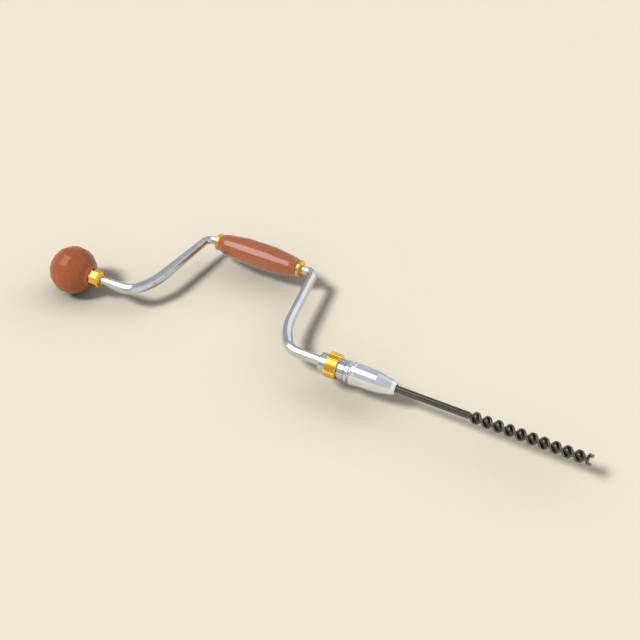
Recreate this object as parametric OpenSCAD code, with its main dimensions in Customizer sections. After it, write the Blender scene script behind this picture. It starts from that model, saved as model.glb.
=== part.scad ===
// Ratchet bit brace with an auger bit in its chuck.
// The origin is the centre of the chuck's mouth. +X runs along the tool axis towards the
// bit's tip, the crank lies in the XY plane with its handle on the +Y side, and +Z is up.

/* [Sweep] */
// Throw of the crank, from the tool axis to the handle's axis
throw = 127; // [110:1:150]
// From the middle of the handle to the chuck's mouth
handle_to_mouth = 241; // [232:1:290]
// From the centre of the head to the middle of the handle
head_to_handle = 191; // [182:1:230]
// Lean of each arm from square, towards the handle
arm_lean = 8; // [0:0.5:12]
// Tight bend radius where an arm leaves the tool axis
low_bend_r = 21.5; // [18:0.5:30]
// Turn of that tight bend, before the wide one takes over
low_bend_turn = 52; // [30:1:60]
// Wide bend radius that carries on into the arm
sweep_bend_r = 76; // [40:1:80]
// Bend radius where an arm meets the handle's axis
top_bend_r = 11; // [9:0.5:16]
// Diameter of the rod at the low bends
rod_d = 11.4; // [10.8:0.1:13]
// Diameter of the rod beside the handle
grip_rod_d = 10.6; // [10:0.1:12]
// Diameter of the rod where it enters the head
neck_d = 10; // [9:0.1:11]

/* [Head] */
// Diameter of the wooden head
head_d = 60; // [52:1:74]
// Length of the wooden head along the tool axis
head_len = 56; // [52:1:74]
// Diameter of the collar over its corners
collar_d = 22.6; // [20.4:0.1:26]
// Length of the collar outside the wood
collar_len = 16; // [12:0.5:20]
// Diameter of the spindle inside the head
spindle_d = 8; // [6:0.1:8.6]
// Diameter of the collar's sleeve that screws into the wood
quill_d = 16; // [15.6:0.1:17.4]
// Length of that sleeve
quill_len = 26; // [16:1:30]
// Diameter of the balls in the head's thrust bearing
head_ball_d = 3; // [2:0.1:3.2]
// Number of balls in the head's thrust bearing
head_balls = 12; // [8:1:12]

/* [Sweep handle] */
// Length of the handle over its ferrules
grip_len = 118.8; // [100:1:130]
// Largest diameter of the handle
grip_d = 33.4; // [28:0.2:40]
// Diameter of the handle's wood beside its ferrules
grip_end_d = 21.2; // [19:0.2:23]
// Diameter of the ferrules
ferrule_d = 21.6; // [20:0.2:26]
// Length of each ferrule
ferrule_len = 4.8; // [4:0.2:8]
// Diameter of the rod's journal inside the handle
journal_d = 9.4; // [8:0.1:9.6]
// Bare straight rod behind the handle
rear_bare = 5.5; // [3:0.5:12]
// Bare straight rod in front of the handle
front_bare = 7.5; // [3:0.5:12]

/* [Ratchet] */
// Diameter of the housing behind the selector ring
house_d = 22.8; // [22.4:0.1:24]
// Length of the housing behind the selector ring
house_rear_len = 8.8; // [8:0.2:12]
// Length of the selector ring
ring_len = 14; // [13:0.5:18]
// Diameter of the selector ring over its grips
ring_d = 29.9; // [29:0.1:34]
// Depth of the grooves between the ring's grips
ring_groove = 1.2; // [0.6:0.1:1.6]
// Number of grips on the selector ring
ring_grips = 12; // [8:1:18]
// Diameter of the housing's front cap
cap_d = 23.5; // [23:0.1:26]
// Length of the housing's front cap
cap_len = 9; // [7:0.5:14]
// Number of teeth on the ratchet wheel
wheel_teeth = 12; // [12:4:16]
// Tip diameter of the ratchet wheel
wheel_d = 14; // [13:0.1:14.2]
// Depth of a ratchet tooth
tooth_depth = 1.8; // [1.5:0.1:2]
// How far each pawl bites into the teeth at rest
bite = 0.6; // [0.4:0.05:0.7]
// Width of the wheel and the pawls along the tool axis
wheel_len = 7; // [5:0.5:8]
// Diameter of the pawls' pins
pawl_pin_d = 1.6; // [1.2:0.1:1.8]
// Turn of the selector ring each way from the middle
ring_turn = 25; // [15:1:30]

/* [Chuck] */
// Length of the chuck's shell
shell_len = 52.5; // [52:0.5:60]
// Diameter of the shell behind its taper
shell_d = 26; // [25:0.2:30]
// Diameter of the shell's nose
nose_d = 12.8; // [12.6:0.1:15]
// Diameter of the bead at the shell's rear end
bead_d = 27.4; // [26.4:0.2:32]
// Length of that bead
bead_len = 4.6; // [3:0.2:7]
// Diameter of the chuck body's thread
thread_d = 17.8; // [17:0.1:18.2]
// Length of the flange between the cap and the shell
flange_len = 6.4; // [5:0.2:10]
// Diameter of the chuck's journal in the cap
front_journal_d = 11.2; // [10.4:0.1:12]
// Diameter of the chuck's journal in the housing
rear_journal_d = 7.2; // [6:0.1:7.6]
// Width of each jaw, across the slot that holds it
jaw_w = 8.4; // [7.6:0.1:9]
// How far the shell is screwed forward to open the jaws
shell_travel = 6; // [3:0.5:6]

/* [Auger bit] */
// Diameter that the bit bores
auger_d = 14; // [12:0.5:20]
// Diameter of the bit's round shank
shank_d = 8.4; // [7:0.1:9]
// Length of the shank outside the chuck
shank_len = 86; // [60:1:120]
// Length of the twist
twist_len = 125.5; // [100:0.5:150]
// Length of the twist for one whole turn
twist_pitch = 24.56; // [18:0.5:36]
// Thickness of the twisted web
web = 4.8; // [3:0.1:5]
// Length of the spurs past the end of the twist
spur_len = 4; // [3:0.5:8]
// Size of the square tang at its rear end, across its flats
tang_rear = 4.95; // [4:0.05:5.2]
// Size of the square tang at its front end, across its flats
tang_front = 6.15; // [5.6:0.05:6.2]
// Length of the tang
tang_len = 31; // [24:1:34]

/* [Hidden] */

// clearances
fit = 0.05;        // between a shaft and its bore
seat_fit = 0.02;   // between pieces that are pressed or screwed together
play = 0.15;       // end play of a piece that turns
slide_fit = 0.1;   // between flat faces that slide
free_gap = 0.3;    // between round faces that never touch
eps = 0.01;        // a cut's run past a face
run_out = 1;       // a cut's run past the end of a piece, where it may be long
lap = 0.4;         // how far a straight stretch of the crank laps into a bend
lap_step = 0.06;   // how much thinner the lapped stretch is
ROUND = 72;        // smoothness of the quick view; the solids are true rounds

// stations along the tool axis, from the mouth backwards
x_shell = -shell_len;
x_flange = x_shell - play - flange_len;
x_cap = x_flange - play - cap_len;
x_ring = x_cap - play - ring_len;
x_shoulder = x_ring - play;
x_house = x_shoulder - house_rear_len;
x_handle = -handle_to_mouth;
x_head = x_handle - head_to_handle;

// the crank's centreline
turn = 90 - arm_lean;
// places on a low bend, from where it leaves the tool axis: the end of its tight and of its wide part
tight_end = low_bend_r * [sin(low_bend_turn), 1 - cos(low_bend_turn)];
wide_end = tight_end + sweep_bend_r * [sin(turn) - sin(low_bend_turn), cos(low_bend_turn) - cos(turn)];
arm_tangent = wide_end[1] / sin(turn);
low_tangent = wide_end[0] - arm_tangent * cos(turn);
top_tangent = top_bend_r * tan(turn / 2);
half_journal = grip_len / 2 + play;
bare_to_bend = top_tangent + throw * tan(arm_lean) + low_tangent;
rear_half = half_journal + rear_bare + bare_to_bend;
front_half = half_journal + front_bare + bare_to_bend;
arm_len = throw / cos(arm_lean) - arm_tangent - top_tangent;
tenon_d = rod_d - 2.6;
tenon_len = house_rear_len * 0.5;

// the head, measured from its centre
head_flat_r = collar_d / 2 + 1.5;
head_flat_x = head_len / 2 * sqrt(1 - pow(head_flat_r / (head_d / 2), 2));
x_head_flat = x_head + head_flat_x;
x_collar = x_head_flat + collar_len;
thrust_len = 2.3;
thrust_set_in = 1;
race_len = 1.6;
x_thrust = x_collar - thrust_set_in - thrust_len;
x_race = x_thrust - head_ball_d - 2 * fit - race_len;
recess_d = quill_d + 1;
bearing_pitch_d = (recess_d + spindle_d) / 2 + 0.6;
x_quill = x_head_flat - quill_len;
washer_len = 1.5;
nut_len = 6;
nut_af = spindle_d * 1.625;
x_washer = x_quill - play - washer_len;
x_nut = x_washer - seat_fit - nut_len;
x_spindle = x_nut - 1.2;
x_head_bore = x_spindle - 2;

// the ratchet, in the plane across the tool axis
ring_seat_d = house_d - 1.2;
ring_bore_r = ring_seat_d / 2 + fit;
wheel_tip_r = wheel_d / 2;
wheel_root_r = wheel_tip_r - tooth_depth;
tooth_half = 0.195;    // half of a tooth's top, as a share of the pitch
tooth_foot = 0.27;     // half of its foot
tooth_pitch = 360 / wheel_teeth;
nose_angle = 45;
nose_r = wheel_tip_r - bite;
pawl_pin_r = nose_r / cos(nose_angle);
pawl_boss_r = pawl_pin_d / 2 + 0.8;
pawl_pin = [0, pawl_pin_r];
nose = nose_r * [cos(nose_angle), sin(nose_angle)];
nose_tangent = [sin(nose_angle), -cos(nose_angle)];
nose_outward = [cos(nose_angle), sin(nose_angle)];
heel_angle = 115;
heel_r = ring_bore_r + 0.8;
heel_dir = [cos(heel_angle), sin(heel_angle)];
heel = heel_r * heel_dir;
heel_w = 1.7;
heel_h = 1.7;
pawl_tip = 0.9 * 12 / wheel_teeth;
pawl_root = pawl_tip + 0.8;
lift = bite + 0.25;
pawl_turn = lift / norm(nose - pawl_pin) * 180 / PI;
function turned_about(p, c, a) =
    c + [cos(a) * (p[0] - c[0]) - sin(a) * (p[1] - c[1]), sin(a) * (p[0] - c[0]) + cos(a) * (p[1] - c[1])];
heel_in_r = norm(turned_about(heel, pawl_pin, pawl_turn));
heel_out_r = norm(turned_about(heel, pawl_pin, -pawl_turn));
cam_rate = (heel_out_r - heel_in_r) / (2 * ring_turn);
chamber_r = wheel_tip_r + 0.3;
chamber_len = wheel_len + 2 * play;
x_chamber = x_cap - chamber_len;
x_wheel = x_chamber + play;
journal_len = 6;
x_journal = x_chamber - journal_len;
wheel_seat_d = 8.4;
key_w = 1.4;
key_set_in = 1;
key_len = wheel_len - 2 * key_set_in;
pawl_leaf = 0.36;
leaf_angle = 144;
leaf_set_in = 1;
leaf_root_r = ring_seat_d * 0.4;
leaf_start = 1;
pin_seat_len = 2.4;
screw_d = 2;
screw_head_d = 3.4;
screw_len = 6;
screw_r = (chamber_r + ring_seat_d / 2) / 2;
washer_d = thread_d + 1;
washer_t = 1.1;

// the chuck
body_front = x_shell + 26.5;
slot_len = 20;
x_slot = body_front - slot_len;
thread_bore_r = thread_d / 2 + slide_fit;
x_thread_end = body_front - 4;
jaw_r = thread_d / 2 - 0.9;
cone_slope = 0.142;
x_cone = -22;
cone_len = 11;
x_cone_step = x_cone + cone_len * 0.72;
cone_ramp = 1.9;
x_race_front = x_cone + cone_len;
cone_in_rear_r = jaw_r + slide_fit;
cone_in_front_r = cone_in_rear_r - cone_slope * cone_len;
cone_ball_d = 1.7;
x_nose_step = x_race_front + cone_ball_d + slide_fit;
cone_out_r = thread_bore_r + 0.4;
cone_neck_r = cone_out_r - 0.8;
cone_ball_r = cone_in_front_r + cone_ball_d / 2 + 0.25;
cone_balls = 14;
nose_bore_r = cone_in_front_r - 0.24;
mouth_r = nose_d / 2 - 0.7;
x_jaw_rear = x_slot + 1.8;
x_jaw_front = -4.6;
jaw_gap = 0.3;
tang_proud = 0.4;   // how far the tang stands out of the jaws before the shank begins
x_tang_front = x_jaw_front + tang_proud;
x_tang_rear = x_tang_front - tang_len;
v_fit = 0.08;
spring_leaf = 0.7;
spring_r = 2.5;
spring_w = jaw_w - 3;
x_spring_end = x_tang_rear - 2.6;

// the auger bit
x_twist = shank_len;
x_spur = x_twist + twist_len;
lobe_angle = -37;   // turn of the web where the twist begins
spur_relief = 0.15; // how much narrower the twist is than the spurs

// a turned piece: its points are places along the tool axis and radii
module turned(points) {
    rotate([0, 90, 0]) rotate_extrude($fn = ROUND) polygon([for (p = points) [p[1], p[0]]]);
}

// a round rod along the tool axis
module rod(x0, x1, r) {
    translate([x0, 0, 0]) rotate([0, 90, 0]) cylinder(h = x1 - x0, r = r, $fn = ROUND);
}

// a tapered round rod along the tool axis
module taper(x0, x1, r0, r1) {
    translate([x0, 0, 0]) rotate([0, 90, 0]) cylinder(h = x1 - x0, r1 = r0, r2 = r1, $fn = ROUND);
}

// a prism along the tool axis, drawn in the plane across it
module across(x0, x1) {
    translate([x0, 0, 0]) rotate([90, 0, 90]) linear_extrude(height = x1 - x0) children();
}

// a slice of a disc, from one angle to another
module sector(r, a0, a1) {
    steps = 12;
    polygon(concat([[0, 0]], [for (i = [0:steps]) let (a = a0 + (a1 - a0) * i / steps) r * [cos(a), sin(a)]]));
}

// the handle's axis as the tool axis
module at_handle() {
    translate([x_handle, throw, 0]) children();
}

// one ring of bearing balls around the tool axis
module ball_ring(x, ring_r, ball_d, count) {
    for (i = [0:count - 1]) rotate([i * 360 / count, 0, 0]) translate([x, ring_r, 0]) sphere(d = ball_d, $fn = 16);
}

module head_ball() {
    steps = 18;
    outline = [for (i = [0:steps]) let (a = -90 + 180 * i / steps)
        [x_head + head_len / 2 * sin(a), head_d / 2 * cos(a)]];
    color("sienna") difference() {
        turned(outline);
        rod(x_head_bore, x_head + head_len, quill_d / 2 + seat_fit);
        rod(x_head_flat, x_head + head_len, head_d);
    }
}

module head_collar() {
    edge = 0.8;
    color("goldenrod") difference() {
        union() {
            intersection() {
                translate([x_head_flat, 0, 0]) rotate([22.5, 0, 0]) rotate([0, 90, 0])
                    cylinder(h = collar_len, d = collar_d, $fn = 8);
                turned([[x_head_flat, 0], [x_head_flat, collar_d / 2 - edge], [x_head_flat + edge, collar_d / 2],
                    [x_collar - edge, collar_d / 2], [x_collar, collar_d / 2 - edge], [x_collar, 0]]);
            }
            rod(x_quill, x_head_flat + edge, quill_d / 2);
        }
        rod(x_quill - eps, x_collar, spindle_d / 2 + fit);
        rod(x_race, x_collar + eps, recess_d / 2);
    }
}

module head_race() {
    color("dimgray") difference() {
        rod(x_race, x_race + race_len, recess_d / 2 - seat_fit);
        rod(x_race - eps, x_race + race_len + eps, spindle_d / 2 + free_gap);
    }
}

module head_bearing_balls() {
    color("silver") ball_ring(x_race + race_len + fit + head_ball_d / 2, bearing_pitch_d / 2, head_ball_d, head_balls);
}

module thrust_collar() {
    color("dimgray") difference() {
        rod(x_thrust, x_thrust + thrust_len, recess_d / 2 - free_gap);
        rod(x_thrust - eps, x_thrust + thrust_len + eps, spindle_d / 2 + seat_fit);
    }
}

module spindle_washer() {
    color("goldenrod") difference() {
        rod(x_washer, x_washer + washer_len, quill_d / 2 - free_gap);
        rod(x_washer - eps, x_washer + washer_len + eps, spindle_d / 2 + seat_fit);
    }
}

module spindle_nut() {
    color("dimgray") difference() {
        translate([x_nut, 0, 0]) rotate([0, 90, 0]) cylinder(h = nut_len, d = nut_af / cos(30), $fn = 6);
        rod(x_nut - eps, x_nut + nut_len + eps, spindle_d / 2 + seat_fit);
    }
}

// one bend of the rod: a part of a ring around the local Z axis, between two angles
module bend(radius, d, from, to) {
    rotate([0, 0, from]) rotate_extrude(angle = to - from, $fn = ROUND) translate([radius, 0]) circle(d = d, $fn = 32);
}

// one arm with its bends, to the left of the middle; the thinner stretches lap into their neighbours
module crank_arm(bare) {
    half_top = half_journal + bare;
    half_low = half_top + bare_to_bend;
    wide_centre = tight_end + sweep_bend_r * [-sin(low_bend_turn), cos(low_bend_turn)];
    wide_lap = lap / sweep_bend_r * 180 / PI;
    translate([-half_low, 0, 0]) {
        translate([0, low_bend_r, 0]) bend(low_bend_r, rod_d, -90, low_bend_turn - 90);
        translate(wide_centre)
            bend(sweep_bend_r, rod_d - lap_step, low_bend_turn - 90 - wide_lap, turn - 90 + wide_lap);
        translate(wide_end) rotate([0, 0, -arm_lean]) rotate([-90, 0, 0])
            cylinder(h = arm_len + lap, d1 = rod_d, d2 = grip_rod_d - lap_step, $fn = 32);
    }
    translate([-half_top, throw - top_bend_r, 0]) bend(top_bend_r, grip_rod_d, 90, 90 + turn);
    translate([0, throw, 0]) rod(-half_top - lap, -half_journal, (grip_rod_d - lap_step) / 2);
}

module crank_frame() {
    neck_len = 3;
    x_neck = x_thrust + thrust_len;
    lapped_r = (rod_d - lap_step) / 2;
    color("silver") union() {
        rod(x_spindle, x_neck, spindle_d / 2);
        rod(x_neck, x_neck + neck_len, neck_d / 2);
        taper(x_neck + neck_len, x_handle - rear_half + lap, neck_d / 2, lapped_r);
        translate([x_handle, 0, 0]) crank_arm(rear_bare);
        translate([x_handle, 0, 0]) mirror([1, 0, 0]) crank_arm(front_bare);
        at_handle() rod(-half_journal - lap, half_journal + lap, journal_d / 2);
        rod(x_handle + front_half - lap, x_house, lapped_r);
        rod(x_house, x_house + tenon_len, tenon_d / 2);
    }
}

// the barrel of the sweep handle: its radius falls away from the middle by a power law
function grip_r(d) =
    let (half = grip_len / 2 - ferrule_len)
    grip_d / 2 - (grip_d - grip_end_d) / 2 * pow(d / half, 3);

module sweep_handle() {
    steps = 14;
    half = grip_len / 2 - ferrule_len;
    tenon_r = ferrule_d / 2 - 1.2 - seat_fit;
    tenon_end = grip_len / 2 - 1.4 - seat_fit;
    barrel = [for (i = [-steps:steps]) let (d = half * i / steps) [d, grip_r(abs(d))]];
    color("sienna") at_handle() difference() {
        turned(concat([[-tenon_end, 0], [-tenon_end, tenon_r], [-half, tenon_r]], barrel,
            [[half, tenon_r], [tenon_end, tenon_r], [tenon_end, 0]]));
        rod(-grip_len, grip_len, journal_d / 2 + free_gap);
    }
}

// a ferrule at the handle's +X end: a cup with a rounded rim
module ferrule() {
    rim = 1.3;
    steps = 5;
    x0 = grip_len / 2 - ferrule_len + seat_fit;
    x1 = grip_len / 2;
    r = ferrule_d / 2;
    rounding = [for (i = [0:steps]) let (a = 90 * i / steps) [x1 - rim + rim * sin(a), r - rim + rim * cos(a)]];
    difference() {
        turned(concat([[x0, 0], [x0, r - 0.5], [x0 + 0.5, r]], rounding, [[x1, 0]]));
        rod(x0 - eps, x1 - 1.4, r - 1.2);
        rod(x0, x1 + eps, journal_d / 2 + fit);
    }
}

module ferrule_rear() {
    color("goldenrod") at_handle() mirror([1, 0, 0]) ferrule();
}

module ferrule_front() {
    color("goldenrod") at_handle() ferrule();
}

// the two pawls mirror each other in the plane of the crank
module both_pawls() {
    children();
    mirror([0, 1]) children();
}

module ratchet_housing() {
    edge = 1;
    color("silver") difference() {
        turned([[x_house, 0], [x_house, house_d / 2 - edge], [x_house + edge, house_d / 2],
            [x_shoulder, house_d / 2], [x_shoulder, ring_seat_d / 2], [x_cap, ring_seat_d / 2], [x_cap, 0]]);
        rod(x_house - eps, x_house + tenon_len + seat_fit, tenon_d / 2 + seat_fit);
        rod(x_journal - play, x_cap, rear_journal_d / 2 + fit);
        rod(x_chamber, x_cap + eps, chamber_r);
        across(x_chamber, x_cap + eps) both_pawls() difference() {
            sector(house_d, 28, 130);
            circle(r = chamber_r - 0.5, $fn = 48);
        }
        across(x_wheel, x_cap + eps) both_pawls() leaf_outline(seat_fit);
        across(x_chamber - pin_seat_len, x_cap)
            both_pawls() translate(pawl_pin) circle(r = pawl_pin_d / 2 + seat_fit, $fn = 24);
        across(x_cap - screw_len + cap_len / 3, x_cap + eps) cap_screw_places()
            circle(d = screw_d + 2 * seat_fit, $fn = 24);
    }
}

module cap_screw_places() {
    for (a = [0, 180]) rotate(a) translate([screw_r, 0]) children();
}

module ratchet_cap() {
    edge = 0.8;
    color("silver") difference() {
        turned([[x_cap, 0], [x_cap, cap_d / 2 - edge / 2], [x_cap + edge / 2, cap_d / 2],
            [x_cap + cap_len - edge, cap_d / 2], [x_cap + cap_len, cap_d / 2 - edge], [x_cap + cap_len, 0]]);
        rod(x_cap - eps, x_cap + cap_len + eps, front_journal_d / 2 + fit);
        across(x_cap - eps, x_cap + pin_seat_len)
            both_pawls() translate(pawl_pin) circle(r = pawl_pin_d / 2 + seat_fit, $fn = 24);
        across(x_cap - eps, x_cap + cap_len) cap_screw_places() circle(d = screw_d + 2 * seat_fit, $fn = 24);
        across(x_cap + cap_len / 3, x_cap + cap_len + eps)
            cap_screw_places() circle(d = screw_head_d + 2 * seat_fit, $fn = 24);
    }
}

module cap_screws() {
    x_head_seat = x_cap + cap_len / 3;
    head_len = 1.6;
    color("dimgray") {
        across(x_head_seat - screw_len + slide_fit, x_head_seat + eps)
            cap_screw_places() circle(d = screw_d, $fn = 24);
        across(x_head_seat, x_head_seat + head_len) cap_screw_places() circle(d = screw_head_d, $fn = 24);
    }
}

// the outline of the selector ring: flat-topped grips with grooves between them
module ring_outline() {
    r = ring_d / 2;
    step = 360 / ring_grips;
    top = 0.30;
    foot = 0.38;
    polygon([for (i = [0:ring_grips - 1]) each [
        for (c = [[-top, r], [top, r], [foot, r - ring_groove], [1 - foot, r - ring_groove]])
            c[1] * [cos((i + c[0]) * step), sin((i + c[0]) * step)]]]);
}

// the cam that one pawl's heel rides on: its radius grows with the angle
module cam_pocket() {
    side = 13;
    cam_fit = 0.12;
    steps = 16;
    a0 = heel_angle - ring_turn - side;
    a1 = heel_angle + ring_turn + side;
    polygon(concat([[0, 0]], [for (i = [0:steps])
        let (a = a0 + (a1 - a0) * i / steps) (heel_r + cam_rate * (a - heel_angle) + cam_fit) * [cos(a), sin(a)]]));
}

module selector_ring() {
    edge = 0.9;
    r = ring_d / 2;
    color("goldenrod") difference() {
        intersection() {
            across(x_ring, x_ring + ring_len) ring_outline();
            turned([[x_ring, 0], [x_ring, r - edge], [x_ring + edge, r], [x_ring + ring_len - edge, r],
                [x_ring + ring_len, r - edge], [x_ring + ring_len, 0]]);
        }
        rod(x_ring - eps, x_ring + ring_len + eps, ring_bore_r);
        across(x_chamber - slide_fit, x_ring + ring_len + eps) both_pawls() cam_pocket();
    }
}

// the pawl above the wheel: a rocker on its pin, with a nose in the teeth and a heel on the cam.
// Its drive flank stands square to the teeth, and its slip flank is a ramp that lifts it over them.
module pawl() {
    arm_r = wheel_tip_r + 1.3 - nose_r;
    arm_w = 1.2;
    crown = 0.2;
    ramp_start = bite + 0.1;
    function at_nose(out, along) = nose + nose_outward * out + nose_tangent * along;
    function boss(a0, a1) =
        [for (i = [0:5]) let (a = a0 + (a1 - a0) * i / 5) pawl_pin + pawl_boss_r * [cos(a), sin(a)]];
    heel_side = [-heel_dir[1], heel_dir[0]] * heel_w / 2;
    color("slategray") across(x_wheel, x_wheel + wheel_len) difference() {
        polygon(concat(
            [at_nose(0, -pawl_tip / 4), at_nose(0, pawl_tip / 2), at_nose(arm_r, pawl_root / 2),
                at_nose(arm_r + arm_w, pawl_root / 2)],
            boss(40, 95),
            [heel - heel_dir * crown - heel_side, heel, heel - heel_dir * crown + heel_side,
                heel - heel_dir * heel_h + heel_side],
            boss(255, 310),
            [at_nose(arm_r, -pawl_root / 2), at_nose(ramp_start, -pawl_root / 2)]));
        translate(pawl_pin) circle(r = pawl_pin_d / 2 + fit, $fn = 24);
    }
}

// the upper pawl turns the wheel anticlockwise, seen from the head
module pawl_reverse() {
    pawl();
}

// the lower pawl turns the wheel clockwise, the way that an auger bores
module pawl_forward() {
    mirror([0, 0, 1]) pawl();
}

module pawl_pins() {
    color("dimgray") across(x_chamber - pin_seat_len + slide_fit, x_cap + pin_seat_len - slide_fit)
        both_pawls() translate(pawl_pin) circle(d = pawl_pin_d, $fn = 24);
}

// the leaf that presses a pawl's heel outwards, from its slit in the housing
module leaf_outline(room) {
    root = leaf_root_r * [cos(leaf_angle), sin(leaf_angle)];
    tip = heel - heel_dir * (heel_h + leaf_set_in);
    side = [root[1] - tip[1], tip[0] - root[0]] / norm(tip - root) * (pawl_leaf / 2 + room);
    polygon([root - side, tip - side, tip + side, root + side]);
}

module pawl_spring() {
    color("silver") across(x_wheel + leaf_start, x_wheel + wheel_len) leaf_outline(0);
}

module pawl_spring_reverse() {
    pawl_spring();
}

module pawl_spring_forward() {
    mirror([0, 0, 1]) pawl_spring();
}

module ratchet_wheel() {
    color("slategray") across(x_wheel, x_wheel + wheel_len) difference() {
        polygon([for (i = [0:wheel_teeth - 1]) each [
            for (c = [[-tooth_half, wheel_tip_r], [tooth_half, wheel_tip_r], [tooth_foot, wheel_root_r],
                    [1 - tooth_foot, wheel_root_r]])
                c[1] * [cos((i + c[0]) * tooth_pitch), sin((i + c[0]) * tooth_pitch)]]]);
        circle(d = wheel_seat_d + 2 * seat_fit, $fn = 48);
        translate([0, -key_w / 2 - seat_fit]) square([wheel_seat_d / 2 + key_w / 2 + slide_fit, key_w + 2 * seat_fit]);
    }
}

module wheel_key() {
    color("dimgray") across(x_wheel + key_set_in, x_wheel + key_set_in + key_len)
        translate([wheel_seat_d / 2 - key_w / 2, -key_w / 2]) square([key_w, key_w]);
}

module thrust_washer() {
    color("peru") difference() {
        rod(x_flange - play / 2 - eps, x_flange - play / 2 + washer_t, washer_d / 2);
        rod(x_flange - play, x_flange + washer_t, front_journal_d / 2 + fit);
    }
}

module chuck_body() {
    flange_r = shell_d / 2 + 0.1;
    edge = 0.5;
    flare_start = x_flange + flange_len * 0.45;
    flare_end = x_flange + flange_len * 0.85;
    front_edge = 0.6;
    color("silver") difference() {
        turned([[x_journal, 0], [x_journal, rear_journal_d / 2], [x_wheel, rear_journal_d / 2],
            [x_wheel, wheel_seat_d / 2], [x_wheel + wheel_len, wheel_seat_d / 2],
            [x_wheel + wheel_len, front_journal_d / 2], [x_flange, front_journal_d / 2],
            [x_flange, cap_d / 2 - edge], [flare_start, cap_d / 2 + edge],
            [flare_end, flange_r], [x_flange + flange_len, flange_r - edge],
            [x_flange + flange_len, thread_d / 2], [body_front - front_edge, thread_d / 2],
            [body_front, thread_d / 2 - front_edge], [body_front, 0]]);
        translate([x_slot, -jaw_w / 2 - slide_fit, -thread_d])
            cube([slot_len + run_out, jaw_w + 2 * slide_fit, 2 * thread_d]);
        difference() {
            rod(x_flange - eps, x_flange + washer_t, washer_d / 2 + slide_fit);
            rod(x_flange - run_out, x_flange + washer_t + run_out, front_journal_d / 2);
        }
        across(x_wheel + key_set_in - seat_fit, x_wheel + key_set_in + key_len + seat_fit)
            translate([wheel_seat_d / 2 - key_w / 2 - seat_fit, -key_w / 2 - seat_fit])
                square([key_w, key_w + 2 * seat_fit]);
    }
}

// half of the tang's diagonal at a place along the axis
function tang_half(x) =
    let (share = (x - x_tang_rear) / tang_len)
    (tang_rear + (tang_front - tang_rear) * share) * sqrt(2) / 2;

// the vee that the tang's corner lies in, tapered like the tang
module jaw_vee() {
    x1 = x_jaw_front + run_out;
    x0 = x_tang_rear - 2 * run_out;
    reach = 3 * thread_d;
    d0 = tang_half(x0) + v_fit;
    d1 = tang_half(x1) + v_fit;
    polyhedron(
        points = [[x0, 0, d0], [x0, -reach, d0 - reach], [x0, reach, d0 - reach],
            [x1, 0, d1], [x1, -reach, d1 - reach], [x1, reach, d1 - reach]],
        faces = [[0, 1, 2], [3, 5, 4], [0, 3, 4, 1], [1, 4, 5, 2], [2, 5, 3, 0]]);
}

// the upper jaw: rounded outside to ride the cone, with a vee inside
module jaw() {
    edge = 0.4;
    x_cone_start = x_cone - edge;
    front_r = jaw_r - cone_slope * (x_jaw_front - x_cone_start);
    pocket_w = spring_w + 2 * slide_fit;
    pocket_r = spring_r + slide_fit;
    x_pocket = x_spring_end + free_gap;
    intersection() {
        difference() {
            turned([[x_jaw_rear, 0], [x_jaw_rear, jaw_r - edge], [x_jaw_rear + edge, jaw_r], [x_cone_start, jaw_r],
                [x_jaw_front - edge, front_r], [x_jaw_front, front_r - edge], [x_jaw_front, 0]]);
            jaw_vee();
            translate([x_jaw_rear - run_out, -pocket_w / 2, -pocket_r])
                cube([x_pocket - x_jaw_rear + run_out, pocket_w, 2 * pocket_r]);
        }
        translate([x_jaw_rear - run_out, -jaw_w / 2, jaw_gap]) cube([slot_len * 3, jaw_w, thread_d]);
    }
}

module jaw_upper() {
    color("slategray") jaw();
}

module jaw_lower() {
    color("slategray") mirror([0, 0, 1]) jaw();
}

// the bent leaf that pushes the jaws apart
module jaw_spring() {
    x_bow = x_slot + spring_r + slide_fit;
    leg = x_spring_end - x_bow;
    in_r = spring_r - spring_leaf;
    color("silver") translate([0, spring_w / 2, 0]) rotate([90, 0, 0]) linear_extrude(height = spring_w)
    difference() {
        union() {
            translate([x_bow, 0]) circle(r = spring_r, $fn = 48);
            translate([x_bow, -spring_r]) square([leg, 2 * spring_r]);
        }
        translate([x_bow, 0]) circle(r = in_r, $fn = 48);
        translate([x_bow, -in_r]) square([leg + run_out, 2 * in_r]);
    }
}

module jaw_cone() {
    color("dimgray") difference() {
        turned([[x_cone, 0], [x_cone, cone_out_r], [x_cone_step, cone_out_r], [x_cone_step + cone_ramp, cone_neck_r],
            [x_race_front, cone_neck_r], [x_race_front, 0]]);
        taper(x_cone - run_out, x_race_front + run_out, cone_in_rear_r + cone_slope * run_out,
            cone_in_front_r - cone_slope * run_out);
    }
}

module cone_bearing_balls() {
    color("silver") ball_ring(x_race_front + slide_fit / 2 + cone_ball_d / 2, cone_ball_r, cone_ball_d, cone_balls);
}

// the shell's outside from its bead to its nose: an ogive with a blunt end
function shell_r(share) = nose_d / 2 + (shell_d - nose_d) / 2 * pow(1 - pow(share, 2.4), 0.7);

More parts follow.
